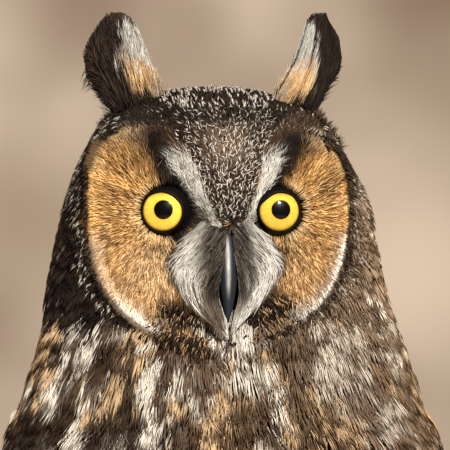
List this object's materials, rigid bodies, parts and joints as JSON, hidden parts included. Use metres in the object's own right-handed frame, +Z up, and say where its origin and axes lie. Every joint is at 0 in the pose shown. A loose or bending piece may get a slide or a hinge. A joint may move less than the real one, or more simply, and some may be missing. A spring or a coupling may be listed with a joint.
{
  "type": "perched owl figure",
  "caption": "Life-size long-eared owl perched upright on a short branch, held by a plain display stand with a round base.",
  "frame": {"origin": "centre of the stand's underside", "axes": "+Z up; the owl looks along -Y with its head turned slightly to its own left, which is +X"},
  "size_m": [0.184, 0.184, 0.3705],
  "materials": {
    "plumage_head": "soft feathers, rufous discs with a dark speckled crown",
    "plumage_body": "soft feathers, dark brown streaks on buff and white",
    "plumage_flight": "barred flight feathers and coverts",
    "plumage_dark": "dark brown ear tuft feathers with pale inner edges",
    "plumage_leg": "short buff feathers",
    "eye": "wet, golden yellow round a black pupil",
    "horn": "blue-black horn, half gloss",
    "bark": "rough bark with cut ends",
    "stand_wood": "satin stained wood",
    "stand_steel": "brushed"
  },
  "bodies": {
    "root": {"head": "plumage_head", "neck": "plumage_body", "torso": "plumage_body", "tail": "plumage_flight", "wing_right": "plumage_flight", "wing_left": "plumage_flight", "ear_tuft_right": "plumage_dark", "ear_tuft_left": "plumage_dark", "leg_right": "plumage_leg", "leg_left": "plumage_leg", "foot_right": "plumage_leg", "foot_left": "plumage_leg", "eye_right": "eye", "eye_left": "eye", "bill_upper": "horn", "bill_lower": "horn", "perch_branch": "bark", "stand_base": "stand_wood", "stand_rod_right": "stand_steel", "stand_rod_left": "stand_steel", "claw_right_inner": "horn", "claw_right_middle": "horn", "claw_right_outer": "horn", "claw_right_hind": "horn", "claw_left_inner": "horn", "claw_left_middle": "horn", "claw_left_outer": "horn", "claw_left_hind": "horn"}
  },
  "joints": []
}
